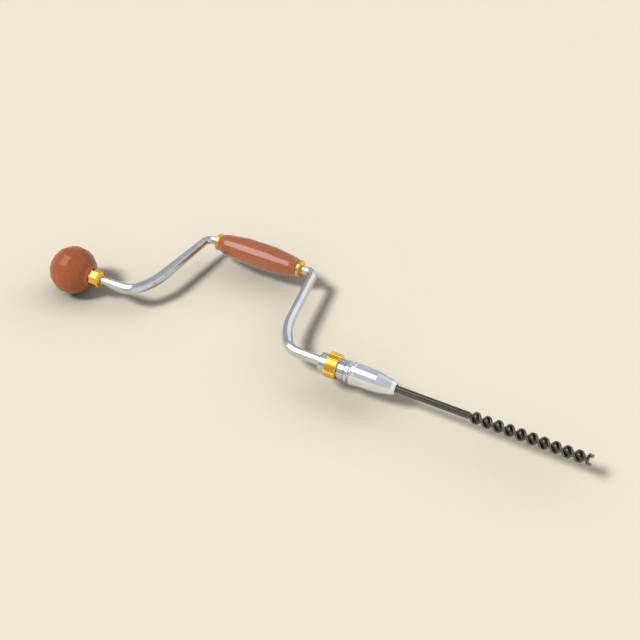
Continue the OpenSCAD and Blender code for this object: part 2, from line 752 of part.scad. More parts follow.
module chuck_shell() {
    steps = 12;
    x_ogive = x_shell + bead_len;
    ogive_start = 0.6;
    ogive = [for (i = [0:steps]) let (share = i / steps) [(x_ogive + ogive_start) * (1 - share), shell_r(share)]];
    bead = bead_d / 2;
    edge = 0.8;
    lip = 1.6;
    color("gainsboro") difference() {
        turned(concat([[x_shell, 0], [x_shell, bead - edge], [x_shell + edge, bead], [x_ogive - edge, bead],
            [x_ogive, shell_d / 2 - edge / 2]], ogive, [[0, 0]]));
        turned([[x_shell - run_out, 0], [x_shell - run_out, thread_bore_r], [x_thread_end, thread_bore_r],
            [x_thread_end, cone_out_r + slide_fit], [x_cone_step, cone_out_r + slide_fit],
            [x_cone_step + cone_ramp, cone_neck_r + slide_fit], [x_nose_step, cone_neck_r + slide_fit],
            [x_nose_step, nose_bore_r], [-lip - edge / 2, nose_bore_r], [-lip, mouth_r], [run_out, mouth_r],
            [run_out, 0]]);
    }
}

// half of an outline across the bit, between two radii: its outer edge is part of a circle
function edge_points(r_in, r, w) =
    let (steps = 4, a = asin(w / 2 / r))
    concat([[r_in, -w / 2]], [for (i = [-steps:steps]) r * [cos(a * i / steps), sin(a * i / steps)]],
        [[r_in, w / 2]]);

// the flat web of the twist with rounded edges, in the plane across the bit
module web_outline() {
    for (s = [0, 180]) rotate(s) polygon(edge_points(-lap, auger_d / 2 - spur_relief, web));
}

module tang() {
    x1 = x_tang_front;
    r0 = tang_rear / 2;
    r1 = tang_front / 2;
    side = [[x_tang_rear, -r0], [x1, -r1], [x1, r1], [x_tang_rear, r0]];
    rotate([45, 0, 0]) intersection() {
        translate([0, 0, -tang_front]) linear_extrude(height = 2 * tang_front) polygon(side);
        translate([0, tang_front, 0]) rotate([90, 0, 0]) linear_extrude(height = 2 * tang_front) polygon(side);
    }
}

// the cutting end: two spurs that score the hole's rim, a little wider than the twist behind them
module cutting_head() {
    spur_t = 2.2;
    root = 2;
    angle = lobe_angle + 360 * twist_len / twist_pitch;
    across(x_spur - root, x_spur + spur_len) rotate(angle) for (s = [0, 180]) rotate(s)
        polygon(edge_points(auger_d / 2 - spur_t, auger_d / 2, web - 2 * spur_relief));
}

module auger_bit() {
    slices_per_turn = 14;
    neck = 3;
    tip = 4;
    tip_r = web * 0.4;
    color("dimgray") union() {
        tang();
        rod(x_tang_front - eps, x_twist - neck, shank_d / 2);
        translate([x_twist - neck - lap, 0, 0]) rotate([0, 90, 0])
            cylinder(h = lap + neck + tip, r1 = shank_d / 2 - lap_step, r2 = tip_r, $fn = 12);
        translate([x_twist, 0, 0]) rotate([90, 0, 90]) rotate(lobe_angle)
            linear_extrude(height = twist_len, twist = -360 * twist_len / twist_pitch,
                slices = ceil(slices_per_turn * twist_len / twist_pitch)) web_outline();
        cutting_head();
    }
}

head_ball();
head_collar();
head_race();
head_bearing_balls();
thrust_collar();
spindle_washer();
spindle_nut();
crank_frame();
sweep_handle();
ferrule_rear();
ferrule_front();
ratchet_housing();
ratchet_cap();
cap_screws();
selector_ring();
pawl_forward();
pawl_reverse();
pawl_pins();
pawl_spring_forward();
pawl_spring_reverse();
ratchet_wheel();
wheel_key();
thrust_washer();
chuck_body();
jaw_upper();
jaw_lower();
jaw_spring();
jaw_cone();
cone_bearing_balls();
chuck_shell();
auger_bit();
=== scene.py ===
"""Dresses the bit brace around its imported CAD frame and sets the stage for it."""

import math

import bpy
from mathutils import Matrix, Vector


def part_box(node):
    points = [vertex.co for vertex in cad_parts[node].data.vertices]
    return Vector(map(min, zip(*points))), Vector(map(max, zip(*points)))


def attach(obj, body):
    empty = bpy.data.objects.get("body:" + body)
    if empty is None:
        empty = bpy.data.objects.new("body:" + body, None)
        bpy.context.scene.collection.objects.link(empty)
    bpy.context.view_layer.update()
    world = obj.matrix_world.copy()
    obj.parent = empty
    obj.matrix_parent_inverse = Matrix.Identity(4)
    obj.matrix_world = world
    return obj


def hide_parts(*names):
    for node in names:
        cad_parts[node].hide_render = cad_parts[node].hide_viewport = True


bl_info = {
    "name": "Bit brace",
    "version": (1, 0, 0),
    "blender": (4, 5, 0),
    "location": "View3D > Sidebar > Brace",
    "description": "A ratchet bit brace with a turned head, a sweep handle and an auger bit",
    "category": "Object",
}

MM = 0.001
TAU = math.tau
LARGE_FLAT = 15 * MM * MM

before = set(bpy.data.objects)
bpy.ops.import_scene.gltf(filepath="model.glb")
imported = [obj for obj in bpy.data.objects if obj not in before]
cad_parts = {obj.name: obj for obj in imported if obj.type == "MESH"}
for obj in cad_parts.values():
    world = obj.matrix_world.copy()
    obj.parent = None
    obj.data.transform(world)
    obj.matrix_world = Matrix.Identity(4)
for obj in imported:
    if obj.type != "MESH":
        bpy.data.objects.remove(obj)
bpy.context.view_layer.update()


# Sizes that come from the frame

def span(node):
    """The places along X where a CAD node starts and ends."""
    low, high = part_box(node)
    return low.x, high.x


def half_width(node):
    """Half of a CAD node's height, which is the radius of a turned one."""
    low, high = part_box(node)
    return (high.z - low.z) / 2


HANDLE_Y = (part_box("sweep_handle")[0].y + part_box("sweep_handle")[1].y) / 2
HANDLE_X = sum(span("sweep_handle")) / 2


def length(name, default, description):
    """A length property, given in millimetres."""
    return bpy.props.FloatProperty(
        name=name, description=description, default=default * MM, min=0.0, subtype="DISTANCE", unit="LENGTH")


def angle(name, default, description):
    """An angle property, given in degrees."""
    return bpy.props.FloatProperty(
        name=name, description=description, default=math.radians(default), subtype="ANGLE", unit="ROTATION")


def factor(name, default, description):
    """A property that multiplies a size."""
    return bpy.props.FloatProperty(name=name, description=description, default=default, min=0.1, soft_max=2.0)


def count(name, default, description):
    """A number of sides or rings."""
    return bpy.props.IntProperty(name=name, description=description, default=default, min=3)


def tint(name, default, description):
    """A colour property."""
    return bpy.props.FloatVectorProperty(
        name=name, description=description, size=3, subtype="COLOR", default=default, min=0.0, max=1.0)


class BraceSizes(bpy.types.PropertyGroup):
    """Sizes of the pieces that are modelled here"""

    head_sides: count("Head sides", 14, "Flats around the wooden head")
    head_rings: count("Head rings", 9, "Flats along the wooden head")
    handle_sides: count("Handle sides", 14, "Flats around the sweep handle")
    metal_sides: count("Metal sides", 16, "Flats around the housing, the cap, the flange and the shell")
    ferrule_sides: count("Ferrule sides", 28, "Sides of the ferrules")
    bore_sides: count("Bore sides", 32, "Sides of the round tools that bore the collar and trim the chuck's flange")
    wood_edge: length("Wood edge", 0.9, "Width of the softened edges between the wood's flats")
    wear_width: length("Wear width", 0.6, "Width of the worn border beside the wood's edges")
    metal_edge: length("Metal edge", 0.2, "Width of the softened edges of the metal pieces")
    rib_edge: length("Rib edge", 0.12, "Width of the softened edges of the cam ring's ribs")
    rod_edge: length("Rod edge", 0.55, "Width of the softened edges along the crank's rod")
    tight_bend: length("Tight bend", 21.5, "Radius of the tight bend where an arm leaves the tool axis")
    wide_bend: length("Wide bend", 76.0, "Radius of the wide bend that carries on into the arm")
    top_bend: length("Top bend", 11.0, "Radius of the bend beside the handle")
    rod_radius: length("Rod radius", 5.7, "Radius of the rod at its low bends, over its corners")
    grip_rod_radius: length("Rod radius at the handle", 5.3, "Radius of the rod beside the handle")
    rear_bare: length("Rear bare rod", 5.5, "Straight rod between the handle's journal and the rear arm's top bend")
    front_bare: length("Front bare rod", 7.5, "Straight rod between the handle's journal and the front arm's top bend")
    arm_lean: angle("Arm lean", 8.0, "How far an arm leans from square to the tool axis")
    tight_turn: angle("Tight bend's turn", 52.0, "How far the tight bend turns before the wide one takes over")
    rear_swell: factor("Rear swell", 1.2, "How much thicker the rod is in the rear arm's low bend")
    front_swell: factor("Front swell", 1.12, "How much thicker the rod is in the front arm's low bend")
    elbow_swell: factor("Elbow swell", 1.13, "How much thicker the rod is in the front arm's top bend")
    band_rise: length("Band rise", 0.9, "How far the flange's band stands out over the cap's radius")
    band_drop: length("Band drop", 2.7, "How deep the groove between the flange's band and the shell is")
    ring_groove: length("Ring groove", 1.9, "Radius of the four-sided tool that grooves the cam ring")
    ferrule_lip: length("Ferrule lip", 1.1, "Radius of the rounded lip at a ferrule's outer end")
    twist_start: length("Twist start", 86.0, "Place along the tool axis where the auger's twist starts")
    twist_phase: angle("Twist phase", -37.0, "Turn of the auger's web where the twist starts")
    twist_pitch: length("Twist pitch", 24.56, "Way along the axis in one turn of the auger's web")
    twist_radius: length("Twist radius", 6.83, "Radius over the lands of the auger's web")
    land_half: length("Half land", 2.4, "Half of the thickness of the auger's web at its lands")
    shank_radius: length("Shank radius", 4.18, "Radius of the bit's shank over its corners")
    spur_length: length("Spur length", 3.4, "How far the spurs stand out in front of the twist")
    spur_half: length("Half spur", 2.62, "Half of the width of a spur")
    spur_inside: length("Spur inside", 4.2, "Distance from the axis to the inner side of a spur")


class BraceColours(bpy.types.PropertyGroup):
    """Colours of the finishes"""

    wood: tint("Wood", (0.388, 0.097, 0.028), "Stained wood of the head and the handle")
    brass: tint("Brass", (0.88, 0.52, 0.095), "Polished brass")
    steel: tint("Steel", (0.60, 0.62, 0.65), "Polished steel of the crank and the ratchet")
    shell: tint("Shell", (0.84, 0.87, 0.90), "Pale plated steel of the chuck's shell")
    bit: tint("Bit", (0.105, 0.094, 0.076), "Dark forged steel of the auger bit")
    fibre: tint("Fibre", (0.24, 0.065, 0.04), "Pressed fibre of the thrust washer")
    floor: tint("Floor", (0.887, 0.807, 0.665), "Pale floor under the brace")
    # Painted shade: the colour that the floor turns to where the brace comes near.
    floor_painted_shade: tint("Floor near the brace", (0.22, 0.205, 0.17), "Floor where the brace nearly touches it")


def sizes():
    return bpy.context.scene.brace_sizes


def colours():
    return bpy.context.scene.brace_colours


# Modelling by hand, in code

def deselect():
    if bpy.context.mode != "OBJECT":
        bpy.ops.object.mode_set(mode="OBJECT")
    bpy.ops.object.select_all(action="DESELECT")


def pick(obj):
    deselect()
    obj.select_set(True)
    bpy.context.view_layer.objects.active = obj
    return obj


def edit(obj, what="SELECT"):
    """Opens a mesh in edit mode with all of it selected, or none."""
    pick(obj)
    bpy.ops.object.mode_set(mode="EDIT")
    bpy.ops.mesh.select_all(action=what)


def done():
    bpy.ops.object.mode_set(mode="OBJECT")
    return bpy.context.object


def heal():
    """Merges what coincides and turns the faces outwards, in edit mode."""
    bpy.ops.mesh.select_all(action="SELECT")
    bpy.ops.mesh.remove_doubles(threshold=0.002 * MM)
    bpy.ops.mesh.normals_make_consistent(inside=False)


def draw_line(points):
    """A new object with one open line of edges, left in edit mode with its last point selected."""
    deselect()
    bpy.ops.mesh.primitive_plane_add(size=MM, location=(0, 0, 0))
    bpy.ops.object.mode_set(mode="EDIT")
    bpy.ops.mesh.select_all(action="SELECT")
    bpy.ops.mesh.merge(type="CENTER")
    bpy.ops.transform.translate(value=points[0])
    for a, b in zip(points, points[1:]):
        bpy.ops.mesh.extrude_region_move(TRANSFORM_OT_translate={"value": Vector(b) - Vector(a)})


def turned(name, profile, sides, turn=0.0, y=0.0):
    """A piece turned about a line along X: the profile is (place along X, radius)."""
    out = Vector((0, math.sin(turn), math.cos(turn)))
    draw_line([Vector((x, y, 0)) + out * r for x, r in profile])
    bpy.ops.mesh.select_all(action="SELECT")
    bpy.ops.mesh.spin(steps=sides, angle=TAU, center=(0, y, 0), axis=(1, 0, 0))
    heal()
    obj = done()
    obj.name = obj.data.name = name
    return obj


def pulled(name, profile, sides, turn=0.0):
    """A turned block with flat sides, closed at both ends on the tool axis."""
    return turned(name, [(profile[0][0], 0.0), *profile, (profile[-1][0], 0.0)], sides, turn)


def copy_of_node(node, name):
    """A CAD node's mesh as a new object, with its triangles joined at their corners."""
    obj = bpy.data.objects.new(name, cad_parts[node].data.copy())
    obj.data.name = name
    bpy.context.scene.collection.objects.link(obj)
    edit(obj)
    bpy.ops.mesh.customdata_custom_splitnormals_clear()
    bpy.ops.mesh.remove_doubles(threshold=0.001 * MM)
    return done()


def combine(obj, tool, operation):
    """Adds, cuts or intersects a tool with an object, and removes the tool."""
    pick(obj)
    bpy.ops.object.modifier_add(type="BOOLEAN")
    step = obj.modifiers[-1]
    step.operation, step.solver, step.object = operation, "EXACT", tool
    bpy.ops.object.modifier_apply(modifier=step.name)
    bpy.data.objects.remove(tool)
    return obj


def flatten(obj):
    """Joins triangles that lie in one plane."""
    edit(obj)
    bpy.ops.mesh.dissolve_limited(angle_limit=math.radians(0.5))
    return done()


def soften(obj, width, segments, degrees):
    """Bevels the edges that are sharper than an angle."""
    pick(obj)
    bpy.ops.object.modifier_add(type="BEVEL")
    step = obj.modifiers[-1]
    step.width, step.segments, step.limit_method = width, segments, "ANGLE"
    step.angle_limit, step.use_clamp_overlap = math.radians(degrees), True
    bpy.ops.object.modifier_apply(modifier=step.name)
    return obj


def frame_flats(obj, width, least):
    """Sets a narrow frame into every face larger than an area, so that wear stays beside the edges."""
    edit(obj, "DESELECT")
    done()
    for face in obj.data.polygons:
        face.select = face.area > least
    bpy.ops.object.mode_set(mode="EDIT")
    bpy.ops.mesh.inset(thickness=width, use_individual=True)
    return done()


def shade(obj, degrees):
    """Smooth shading that keeps its flats flat."""
    pick(obj)
    bpy.ops.object.shade_smooth_by_angle(angle=math.radians(degrees))
    bpy.ops.object.modifier_add(type="WEIGHTED_NORMAL")
    step = obj.modifiers[-1]
    step.keep_sharp = True
    bpy.ops.object.modifier_apply(modifier=step.name)
    return obj


def fit_piece(obj, body, material, nodes=()):
    """Gives a finished piece its material, its body and the nodes that it stands for.

    The floor's shadows stay grey, because the piece throws no coloured light back on the floor.
    """
    obj.visible_diffuse = False
    obj.data.materials.clear()
    obj.data.materials.append(material)
    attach(obj, body)
    if nodes:
        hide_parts(*nodes)
    return obj


def dress_node(node, material):
    """Gives a CAD node that stays in view a better material."""
    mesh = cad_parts[node].data
    for i in range(max(1, len(mesh.materials))):
        if i < len(mesh.materials):
            mesh.materials[i] = material
        else:
            mesh.materials.append(material)


# Materials

class Finish:
    """A material whose nodes are added one by one."""

    def __init__(self, name):
        self.material = bpy.data.materials.new(name)
        self.material.use_nodes = True
        self.tree = self.material.node_tree
        self.shader = self.tree.nodes["Principled BSDF"]
        self.place = self.add("ShaderNodeTexCoord").outputs["Object"]

    def add(self, kind, **settings):
        node = self.tree.nodes.new(kind)
        for key, value in settings.items():
            setattr(node, key, value)
        return node

    def join(self, a, b):
        self.tree.links.new(a, b)

    def stretched(self, scale, at=(0, 0, 0)):
        node = self.add("ShaderNodeMapping")
        self.join(self.place, node.inputs["Vector"])
        node.inputs["Location"].default_value = at
        node.inputs["Scale"].default_value = scale
        return node.outputs["Vector"]

    def noise(self, vector, scale, detail, rough, distortion=0.0):
        node = self.add("ShaderNodeTexNoise")
        self.join(vector, node.inputs["Vector"])
        node.inputs["Scale"].default_value = scale
        node.inputs["Detail"].default_value = detail
        node.inputs["Roughness"].default_value = rough
        node.inputs["Distortion"].default_value = distortion
        return node.outputs["Fac"]

    def ramp(self, value, stops):
        node = self.add("ShaderNodeValToRGB")
        self.join(value, node.inputs["Fac"])
        while len(node.color_ramp.elements) < len(stops):
            node.color_ramp.elements.new(0.5)
        for element, (at, colour) in zip(node.color_ramp.elements, stops):
            element.position = at
            element.color = (*colour, 1.0)
        return node.outputs["Color"]

    def range(self, value, before, after=(0.0, 1.0)):
        """Maps one span of values onto another."""
        node = self.add("ShaderNodeMapRange")
        self.join(value, node.inputs["Value"])
        for key, number in zip(("From Min", "From Max", "To Min", "To Max"), (*before, *after)):
            node.inputs[key].default_value = number
        return node.outputs["Result"]

    def bump(self, height, strength, distance):
        node = self.add("ShaderNodeBump")
        self.join(height, node.inputs["Height"])
        node.inputs["Strength"].default_value = strength
        node.inputs["Distance"].default_value = distance
        self.join(node.outputs["Normal"], self.shader.inputs["Normal"])

    def edges(self, low, high):
        """How much a place is a raised edge, from 0 to 1."""
        return self.range(self.add("ShaderNodeNewGeometry").outputs["Pointiness"], (low, high))


def scaled(colour, by):
    return tuple(min(1.0, c * by) for c in colour)


def mixed(finish, share, a, b):
    """A colour mix whose three inputs are sockets or plain values."""
    node = finish.add("ShaderNodeMix", data_type="RGBA")
    factor, first, second = node.inputs[0], node.inputs[6], node.inputs[7]
    for value, socket in ((share, factor), (a, first), (b, second)):
        if isinstance(value, bpy.types.NodeSocket):
            finish.join(value, socket)
        elif isinstance(value, (int, float)):
            socket.default_value = value
        else:
            socket.default_value = (*value, 1.0)
    return node.outputs[2]


def stained_wood(name, at, polish):
    """Red-brown stained wood with its grain along the tool axis."""
    f = Finish(name)
    base = tuple(colours().wood)
    grain = f.noise(f.stretched((9, 90, 90), at), scale=3.2, detail=5.0, rough=0.6, distortion=0.35)
    broad = f.noise(f.stretched((6, 24, 24), at), scale=1.5, detail=2.0, rough=0.5, distortion=0.6)
    pores = f.noise(f.stretched((60, 700, 700), at), scale=2.0, detail=2.0, rough=0.6)
    tone = f.ramp(grain, [(0.30, scaled(base, 0.88)), (0.50, base), (0.72, scaled(base, 1.10))])
    tone = mixed(f, f.range(broad, (0.35, 0.70), (0.0, 0.35)), tone, scaled(base, 0.86))
    tone = mixed(f, f.range(pores, (0.62, 0.74), (0.0, 0.45)), tone, scaled(base, 0.58))
    tone = mixed(f, f.edges(0.515, 0.56), tone, scaled(base, 1.35))
    f.join(tone, f.shader.inputs["Base Color"])
    f.join(f.range(grain, (0.3, 0.7), (0.36, 0.48)), f.shader.inputs["Roughness"])
    f.shader.inputs["Specular IOR Level"].default_value = 0.3
    f.shader.inputs["Coat Weight"].default_value = polish
    f.shader.inputs["Coat Roughness"].default_value = 0.06
    f.shader.inputs["Coat IOR"].default_value = 1.7
    f.bump(f.range(pores, (0.55, 0.75), (1.0, 0.0)), strength=0.35, distance=0.06 * MM)
    return f.material


def metal(name, base, rough, spread=0.06, hollow_shade=0.75, worn=1.18):
    """A worked metal: fine tool lines, faint clouding, painted shade that darkens the hollows, and brighter worn
    edges.
    """
    f = Finish(name)
    f.shader.inputs["Metallic"].default_value = 1.0
    cloud = f.noise(f.place, scale=70.0, detail=4.0, rough=0.6)
    scratch = f.noise(f.stretched((30, 900, 900)), scale=1.0, detail=3.0, rough=0.6)
    tone = f.ramp(cloud, [(0.30, scaled(base, 0.90)), (0.70, scaled(base, 1.06))])
    # Painted shade: the hollows are darker, where shade falls.
    tone = mixed(f, f.edges(0.43, 0.49), scaled(base, hollow_shade), tone)
    tone = mixed(f, f.edges(0.52, 0.59), tone, scaled(base, worn))
    f.join(tone, f.shader.inputs["Base Color"])
    smear = mixed(f, 0.5, cloud, scratch)
    f.join(f.range(smear, (0.35, 0.65), (rough - spread, rough + spread)), f.shader.inputs["Roughness"])
    f.bump(scratch, strength=0.12, distance=0.02 * MM)
    return f.material


def forged(name, base, rough):
    """Dark forged steel with flecks of scale, and bright edges that are worn steel and partly a painted highlight."""
    f = Finish(name)
    f.shader.inputs["Metallic"].default_value = 1.0
    scale = f.noise(f.place, scale=420.0, detail=5.0, rough=0.65)
    cloud = f.noise(f.place, scale=60.0, detail=3.0, rough=0.5)
    tone = f.ramp(scale, [(0.32, scaled(base, 0.72)), (0.66, scaled(base, 1.25))])
    tone = mixed(f, f.range(cloud, (0.4, 0.7), (0.0, 0.5)), tone, scaled(base, 0.85))
    # Lighter edges: worn steel, and partly a painted highlight along them.
    tone = mixed(f, f.edges(0.51, 0.58), tone, scaled(base, 2.8))
    f.join(tone, f.shader.inputs["Base Color"])
    f.join(f.range(scale, (0.3, 0.7), (rough - 0.08, rough + 0.10)), f.shader.inputs["Roughness"])
    f.bump(scale, strength=0.25, distance=0.04 * MM)
    return f.material


def pressed_fibre(name, base):
    """Dark red pressed fibre with short strands and pale worn edges."""
    f = Finish(name)
    strands = f.noise(f.stretched((900, 300, 300)), scale=1.0, detail=4.0, rough=0.6)
    tone = f.ramp(strands, [(0.30, scaled(base, 0.80)), (0.70, scaled(base, 1.25))])
    tone = mixed(f, f.edges(0.52, 0.58), tone, scaled(base, 1.6))
    f.join(tone, f.shader.inputs["Base Color"])
    f.join(f.range(strands, (0.3, 0.7), (0.62, 0.78)), f.shader.inputs["Roughness"])
    f.bump(strands, strength=0.3, distance=0.03 * MM)
    return f.material


def floor_material():
    """A pale floor that keeps the shadow, with painted shade that darkens it softly where the brace comes near."""
    f = Finish("pale_floor")
    base = tuple(colours().floor)
    speck = f.noise(f.place, scale=6.0, detail=2.0, rough=0.5)
    tone = mixed(f, f.range(speck, (0.3, 0.7)), scaled(base, 0.99), base)
    # Painted shade: ambient occlusion darkens the floor's colour towards a dark tone near the brace.
    sky = f.add("ShaderNodeAmbientOcclusion", samples=8)
    sky.inputs["Distance"].default_value = 90 * MM
    tone = mixed(f, f.range(sky.outputs["AO"], (0.20, 0.96)), tuple(colours().floor_painted_shade), tone)
    f.join(tone, f.shader.inputs["Base Color"])
    f.shader.inputs["Roughness"].default_value = 0.9
    f.shader.inputs["Specular IOR Level"].default_value = 0.1
    return f.material


# Operators, one for each piece or group of like pieces

class BRACE_OT_stage(bpy.types.Operator):
    """Sets up the floor, the lights and the camera"""

    bl_idname = "brace.stage"
    bl_label = "Stage"

    def execute(self, context):
        self.floor()
        self.lights()
        self.camera()
        return {"FINISHED"}

    def floor(self):
        """The head touches the floor, and the rest of the brace is held level above it."""
        deselect()
        bpy.ops.mesh.primitive_grid_add(x_subdivisions=4, y_subdivisions=4, size=9.0, location=(0, 0, 0))
        floor = bpy.context.object
        floor.name = "floor"
        slope_x, slope_y, drop = -0.0128, -0.0024, 35.4 * MM
        for v in floor.data.vertices:
            v.co.z = slope_x * v.co.x + slope_y * v.co.y - drop
        floor.data.materials.append(floor_material())

    def lights(self):
        self.studio()
        self.lamp("key", towards=(-0.406, -0.438, 0.802), energy=2.79, degrees=15)
        self.lamp("front_fill", towards=(0.3, -0.92, 0.25), energy=0.58, degrees=50)
        self.lamp("back_fill", towards=(0.48, 0.62, 0.62), energy=1.1, degrees=45)
        self.softbox("softbox", towards=(-0.465, -0.28, 0.84), width=3.8, height=4.6, power=150.0)
        self.softbox("back_box", towards=(0.22, 0.82, 0.53), width=3.6, height=3.2, power=22.0)

    def lamp(self, name, towards, energy, degrees):
        """A lamp without a place, as wide as so many degrees of the sky."""
        way = Vector(towards).normalized()
        deselect()
        bpy.ops.object.light_add(type="SUN", location=way * 2.0)
        lamp = bpy.context.object
        lamp.name = name
        lamp.data.energy = energy
        lamp.data.angle = math.radians(degrees)
        lamp.rotation_euler = (-way).to_track_quat("-Z", "Y").to_euler()
        lamp.visible_glossy = False

    def softbox(self, name, towards, width, height, power):
        """A large flat lamp, which metal and the polish on the wood show."""
        way = Vector(towards).normalized()
        deselect()
        bpy.ops.object.light_add(type="AREA", location=way * 6.0)
        lamp = bpy.context.object
        lamp.name = name
        lamp.data.shape = "RECTANGLE"
        lamp.data.size, lamp.data.size_y = width, height
        lamp.data.energy = power
        lamp.rotation_euler = (math.asin(-way.y), math.atan2(way.x, way.z), 0.0)
        lamp.visible_camera = False
        lamp.visible_diffuse = False

    def studio(self):
        """A soft grey world, whose paler ceiling metal shows and the floor's light leaves out."""
        world = bpy.data.worlds.new("studio")
        bpy.context.scene.world = world
        world.use_nodes = True
        tree = world.node_tree
        lit, out = tree.nodes["Background"], tree.nodes["World Output"]
        lit.inputs["Color"].default_value = (0.97, 0.985, 1.0, 1.0)
        lit.inputs["Strength"].default_value = 0.03
        place = tree.nodes.new("ShaderNodeTexCoord")
        split = tree.nodes.new("ShaderNodeSeparateXYZ")
        ramp = tree.nodes.new("ShaderNodeValToRGB")
        seen = tree.nodes.new("ShaderNodeBackground")
        rays = tree.nodes.new("ShaderNodeLightPath")
        either = tree.nodes.new("ShaderNodeMath")
        mix = tree.nodes.new("ShaderNodeMixShader")
        either.operation = "MAXIMUM"
        stops = ramp.color_ramp.elements
        stops[0].position, stops[0].color = 0.0, (0.52, 0.53, 0.55, 1.0)
        stops[1].position, stops[1].color = 0.62, (0.92, 0.93, 0.94, 1.0)
        for a, b in (
            (place.outputs["Generated"], split.inputs[0]), (split.outputs["X"], ramp.inputs["Fac"]),
            (ramp.outputs["Color"], seen.inputs["Color"]),
            (rays.outputs["Is Camera Ray"], either.inputs[0]), (rays.outputs["Is Glossy Ray"], either.inputs[1]),
            (either.outputs[0], mix.inputs[0]), (lit.outputs[0], mix.inputs[1]), (seen.outputs[0], mix.inputs[2]),
            (mix.outputs[0], out.inputs["Surface"]),
        ):
            tree.links.new(a, b)

    def camera(self):
        """The camera that was fitted to the photograph."""
        azimuth, elevation = math.radians(26.64), math.radians(44.669)
        distance = 1.0721
        target = Vector((-0.12132, 0.0576, 0.0))
        back = Vector((math.sin(azimuth) * math.cos(elevation), -math.cos(azimuth) * math.cos(elevation),
                       math.sin(elevation)))
        deselect()
        bpy.ops.object.camera_add(location=target + back * distance)
        cam = bpy.context.object
        cam.name = "photo_camera"
        cam.rotation_mode = "QUATERNION"
        cam.rotation_quaternion = (-back).to_track_quat("-Z", "Y")
        cam.data.sensor_width = 36.0
        cam.data.lens = 51.74
        cam.data.clip_start, cam.data.clip_end = 0.05, 50.0
        bpy.context.scene.camera = cam
        bpy.context.scene.view_settings.view_transform = "Standard"
        bpy.context.scene.cycles.caustics_reflective = False


class BRACE_OT_head(bpy.types.Operator):
    """Turns the wooden head"""

    bl_idname = "brace.head"
    bl_label = "Head"

    def execute(self, context):
        s = sizes()
        wood = stained_wood("wood_head", at=(0.31, 0.2, 0.1), polish=0.2)
        x_top, x_flat = span("head_ball")
        radius = half_width("head_ball")
        half_long = self.half_length(x_top, x_flat, radius)
        centre = x_top + half_long
        bore_r = 8.35 * MM
        bore_x = span("spindle_nut")[0] - 3.2 * MM
        flat_turn = math.acos((x_flat - centre) / half_long)
        neck = half_width("head_collar") + 0.25 * MM
        lip = x_flat + 3.6 * MM
        profile = [(bore_x, 0.0), (bore_x, bore_r), (x_flat, bore_r), (x_flat, neck), (lip, neck),
                   (lip, neck + 0.7 * MM), (x_flat - 0.4 * MM, neck + 3.0 * MM)]
        for i in range(1, s.head_rings + 1):
            turn = flat_turn + (math.pi - flat_turn) * i / s.head_rings
            profile.append((centre + half_long * math.cos(turn), radius * math.sin(turn)))
        profile[-1] = (x_top, 0.0)
        ball = turned("turned_head", profile, s.head_sides, math.pi / s.head_sides)
        soften(ball, s.wood_edge, 3, 8)
        frame_flats(ball, s.wear_width, LARGE_FLAT)
        shade(ball, 25)
        fit_piece(ball, "head", wood, ["head_ball"])
        return {"FINISHED"}

    def half_length(self, x0, x1, radius):
        """Half of the whole ball's length: the collar's flat cuts a disc of known radius from it."""
        flat_r = half_width("head_collar") + 1.5 * MM
        cut = math.sqrt(1 - (flat_r / radius) ** 2)
        return (x1 - x0) / (1 + cut)


class BRACE_OT_handle(bpy.types.Operator):
    """Turns the sweep handle's barrel"""

    bl_idname = "brace.handle"
    bl_label = "Handle"

    def execute(self, context):
        s = sizes()
        mid = HANDLE_X
        half = span("ferrule_front")[0] - mid
        end = span("sweep_handle")[1] - mid
        end_r = half_width("ferrule_front") - 0.2 * MM
        top_r = half_width("sweep_handle")
        tenon_r, bore_r = 9.5 * MM, 5.0 * MM
        barrel = []
        for share in (-1.0, -0.85, -0.34, 0.34, 0.85, 1.0):
            barrel.append((mid + half * share, top_r - (top_r - end_r) * abs(share) ** 3))
        profile = [(mid - end, bore_r), (mid - end, tenon_r), (mid - half, tenon_r), *barrel,
                   (mid + half, tenon_r), (mid + end, tenon_r), (mid + end, bore_r), (mid - end, bore_r)]
        turn = math.radians(-40) + math.pi / s.handle_sides
        obj = turned("turned_handle", profile, s.handle_sides, turn, HANDLE_Y)
        soften(obj, s.wood_edge * 0.5, 1, 4)
        frame_flats(obj, s.wear_width, LARGE_FLAT)
        shade(obj, 3)
        wood = stained_wood("wood_handle", at=(0.0, 0.4, 0.2), polish=1.0)
        fit_piece(obj, "handle", wood, ["sweep_handle"])
        return {"FINISHED"}


